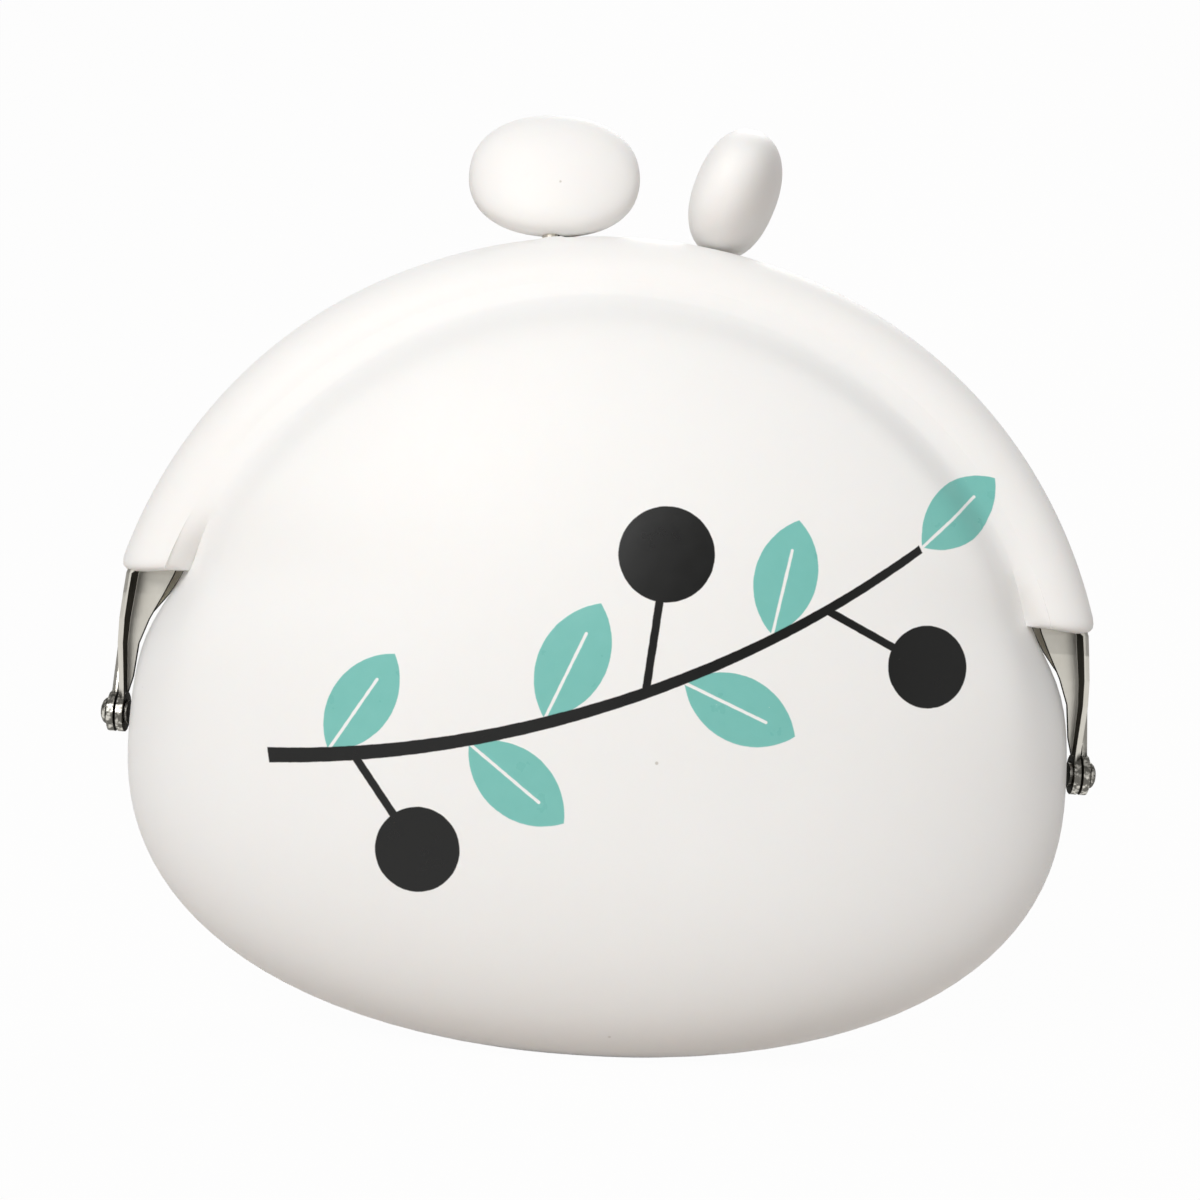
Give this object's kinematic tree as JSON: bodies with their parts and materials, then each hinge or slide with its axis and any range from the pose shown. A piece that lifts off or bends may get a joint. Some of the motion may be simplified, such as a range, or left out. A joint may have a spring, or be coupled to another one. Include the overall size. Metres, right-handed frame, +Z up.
{
  "type": "silicone clasp pouch",
  "caption": "Soft white silicone coin pouch with a hinged steel clasp frame, rounded rim sleeves and oval snap knobs.",
  "frame": {"origin": "middle of the base that the closed pouch stands on", "axes": "+Z up, +X to the right of someone who looks at the front, the front faces -Y"},
  "size_m": [0.1192, 0.044, 0.1102],
  "materials": {
    "white_silicone": "satin white silicone",
    "nickel_plated_steel": "polished nickel plating on pressed steel"
  },
  "bodies": {
    "pouch": {"pouch_bowl": "white_silicone"},
    "front_half": {"front_cover": "white_silicone", "front_frame": "nickel_plated_steel", "front_stud": "nickel_plated_steel", "front_knob": "white_silicone"},
    "back_half": {"back_cover": "white_silicone", "back_frame": "nickel_plated_steel", "back_stud": "nickel_plated_steel", "back_knob": "white_silicone", "left_rivet": "nickel_plated_steel", "right_rivet": "nickel_plated_steel"}
  },
  "joints": [
    {"name": "front_open", "type": "hinge", "parent": "pouch", "child": "front_half", "pos_m": [0, 0, 0.0356], "axis": [1, 0, 0], "range_deg": [0, 40]},
    {"name": "back_open", "type": "hinge", "parent": "pouch", "child": "back_half", "pos_m": [0, 0, 0.0356], "axis": [-1, 0, 0], "range_deg": [0, 40]}
  ],
  "couplings": [
    {"joint": "back_open", "follows": "front_open", "ratio": 1}
  ]
}
